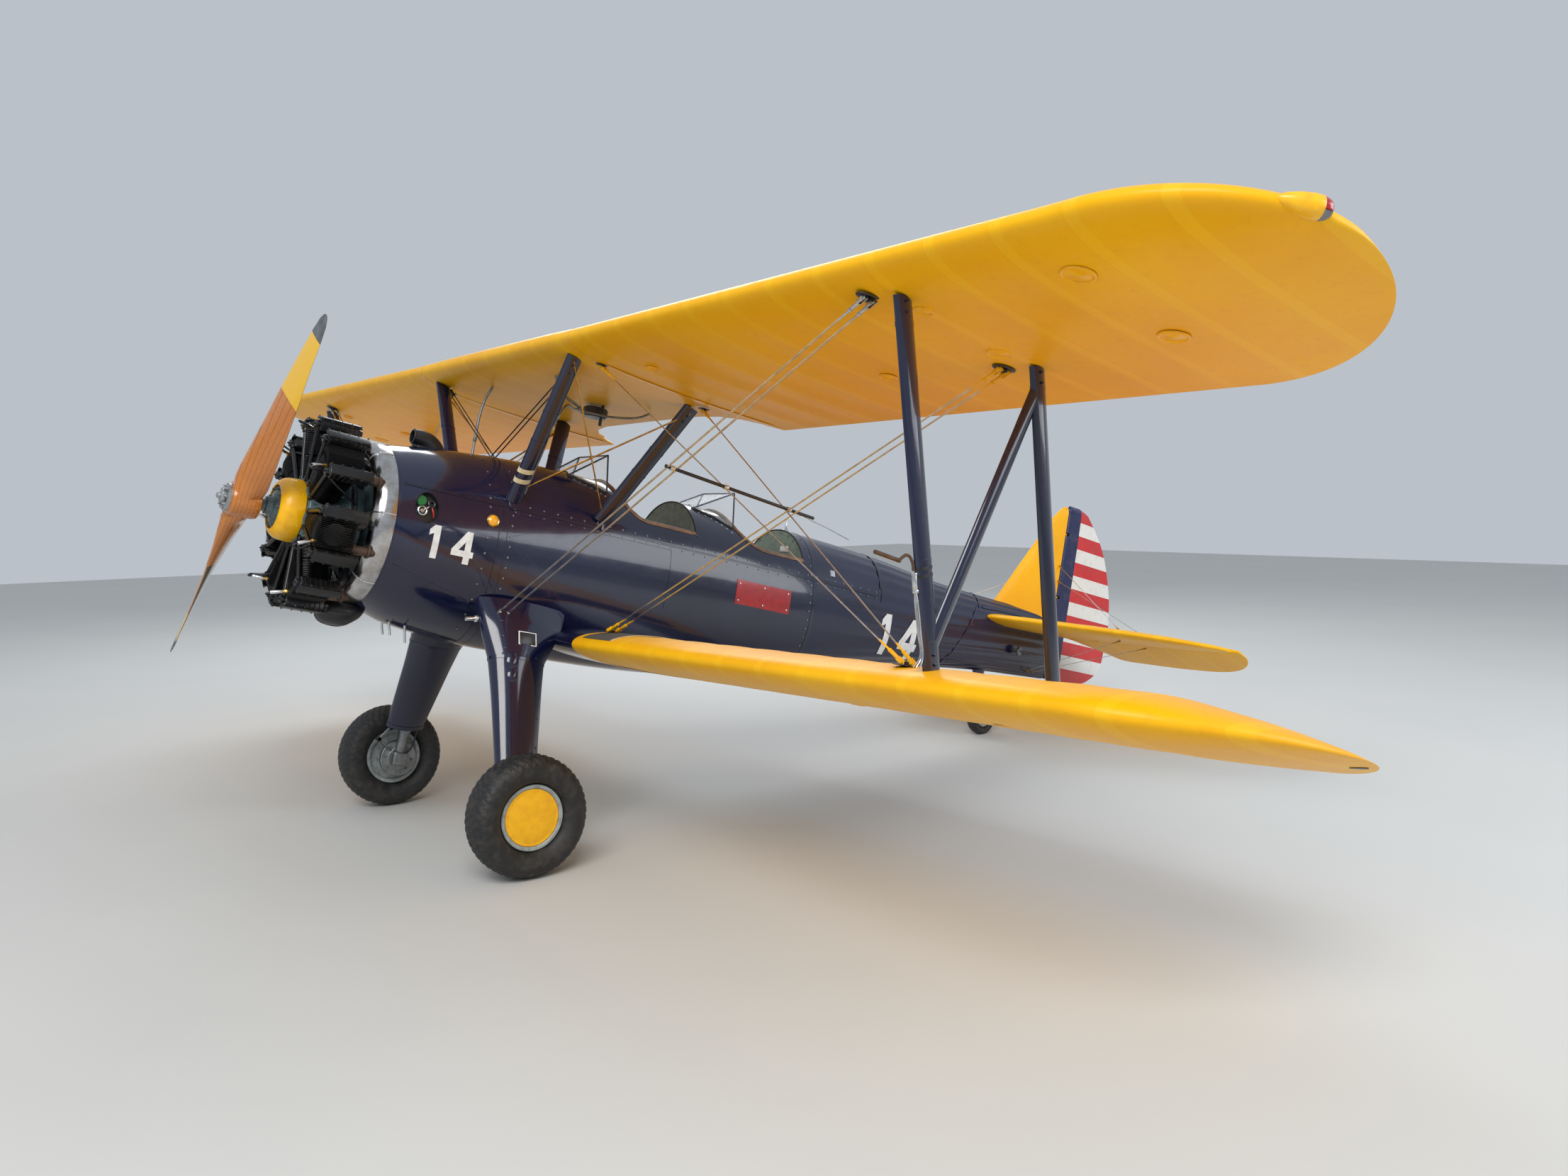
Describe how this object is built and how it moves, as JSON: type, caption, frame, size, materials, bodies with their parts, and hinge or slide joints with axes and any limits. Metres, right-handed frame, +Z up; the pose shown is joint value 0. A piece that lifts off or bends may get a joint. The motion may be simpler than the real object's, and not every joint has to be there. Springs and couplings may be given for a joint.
{
  "type": "biplane aeroplane",
  "caption": "Two-seat open-cockpit biplane with a radial engine, wooden propeller, braced wings, fixed main gear and a steered tail wheel, parked on its wheels.",
  "frame": {"origin": "floor level, on the centre plane, at the middle of the overall box", "axes": "+X to port, +Y towards the tail, +Z up from the floor"},
  "size_m": [9.8004, 7.6044, 2.9043],
  "materials": {
    "navy_panel": "gloss",
    "navy_fabric": "gloss",
    "navy_strut": "gloss",
    "yellow_fabric": "satin",
    "yellow_paint": "gloss",
    "striped_fabric": "satin",
    "varnished_wood": "gloss",
    "bare_steel": "satin",
    "polished_ring": "polished",
    "engine_metal": "satin",
    "black_metal": "satin",
    "tyre": "matte",
    "wheel_grey": "satin",
    "cockpit_green": "matte",
    "clear_pane": "polished"
  },
  "bodies": {
    "airframe": {"nose_cowl": "navy_panel", "fuselage_front": "navy_panel", "fuselage_rear": "navy_fabric", "cockpit_floor": "cockpit_green", "instrument_panel_front": "black_metal", "seat_front": "cockpit_green", "instrument_panel_rear": "black_metal", "seat_rear": "cockpit_green", "windscreen_front": "clear_pane", "windscreen_rear": "clear_pane", "wing_centre_section": "yellow_fabric", "upper_wing_left": "yellow_fabric", "upper_wing_right": "yellow_fabric", "lower_wing_left": "yellow_fabric", "lower_wing_right": "yellow_fabric", "root_fairing_left": "navy_panel", "root_fairing_right": "navy_panel", "gear_leg_left": "navy_strut", "gear_leg_right": "navy_strut", "axle_left": "bare_steel", "axle_right": "bare_steel", "cabane_strut_front_left": "navy_strut", "cabane_strut_front_right": "navy_strut", "cabane_strut_rear_left": "navy_strut", "cabane_strut_rear_right": "navy_strut", "interplane_strut_left": "navy_strut", "interplane_strut_right": "navy_strut", "flying_wire_front_left": "bare_steel", "flying_wire_front_right": "bare_steel", "flying_wire_rear_left": "bare_steel", "flying_wire_rear_right": "bare_steel", "landing_wire_left": "bare_steel", "landing_wire_right": "bare_steel", "engine": "engine_metal", "nose_dome": "yellow_paint", "exhaust_ring": "polished_ring", "air_scoop": "black_metal", "vent_horn": "black_metal", "fin": "yellow_fabric", "tailplane_left": "yellow_fabric", "tailplane_right": "yellow_fabric", "tail_wheel_bracket": "navy_strut"},
    "propeller": {"propeller": "varnished_wood", "propeller_hub": "bare_steel"},
    "left_wheel": {"wheel_left": "wheel_grey", "hub_cap_left": "yellow_paint", "tyre_left": "tyre"},
    "right_wheel": {"wheel_right": "wheel_grey", "hub_cap_right": "yellow_paint", "tyre_right": "tyre"},
    "tail_fork": {"tail_wheel_fork": "bare_steel"},
    "tail_wheel": {"tail_wheel_hub": "wheel_grey", "tail_wheel_tyre": "tyre"},
    "rudder": {"rudder": "striped_fabric"},
    "elevators": {"elevator_left": "yellow_fabric", "elevator_right": "yellow_fabric"},
    "left_aileron": {"aileron_left": "yellow_fabric"},
    "right_aileron": {"aileron_right": "yellow_fabric"}
  },
  "joints": [
    {"name": "propeller_spin", "type": "hinge", "parent": "airframe", "child": "propeller", "pos_m": [0, -3.59307, 1.99733], "axis": [0, 0.9737, -0.2279], "continuous": true},
    {"name": "left_wheel_spin", "type": "hinge", "parent": "airframe", "child": "left_wheel", "pos_m": [0.998, -2.50248, 0.32483], "axis": [1, 0, 0], "continuous": true},
    {"name": "right_wheel_spin", "type": "hinge", "parent": "airframe", "child": "right_wheel", "pos_m": [-0.998, -2.50248, 0.32483], "axis": [1, 0, 0], "continuous": true},
    {"name": "rudder_turn", "type": "hinge", "parent": "airframe", "child": "rudder", "pos_m": [0, 3.04987, 1.059], "axis": [0, 0.2279, 0.9737], "range_deg": [-30, 30]},
    {"name": "tail_wheel_steer", "type": "hinge", "parent": "airframe", "child": "tail_fork", "pos_m": [0, 2.04152, 0.40146], "axis": [0, 0.2279, 0.9737], "range_deg": [-24, 24]},
    {"name": "tail_wheel_spin", "type": "hinge", "parent": "tail_fork", "child": "tail_wheel", "pos_m": [0, 2.09209, 0.13483], "axis": [1, 0, 0], "continuous": true},
    {"name": "elevator_turn", "type": "hinge", "parent": "airframe", "child": "elevators", "pos_m": [0, 3.00018, 0.76766], "axis": [1, 0, 0], "range_deg": [0, 43]},
    {"name": "left_aileron_turn", "type": "hinge", "parent": "airframe", "child": "left_aileron", "pos_m": [3.135, -0.88571, 0.91439], "axis": [0.9997, 0.0057, 0.0243], "range_deg": [-20, 20]},
    {"name": "right_aileron_turn", "type": "hinge", "parent": "airframe", "child": "right_aileron", "pos_m": [-3.135, -0.88571, 0.91439], "axis": [0.9997, -0.0057, -0.0243], "range_deg": [-20, 20]}
  ],
  "couplings": [
    {"joint": "tail_wheel_steer", "follows": "rudder_turn", "ratio": 0.8},
    {"joint": "right_aileron_turn", "follows": "left_aileron_turn", "ratio": -1}
  ]
}
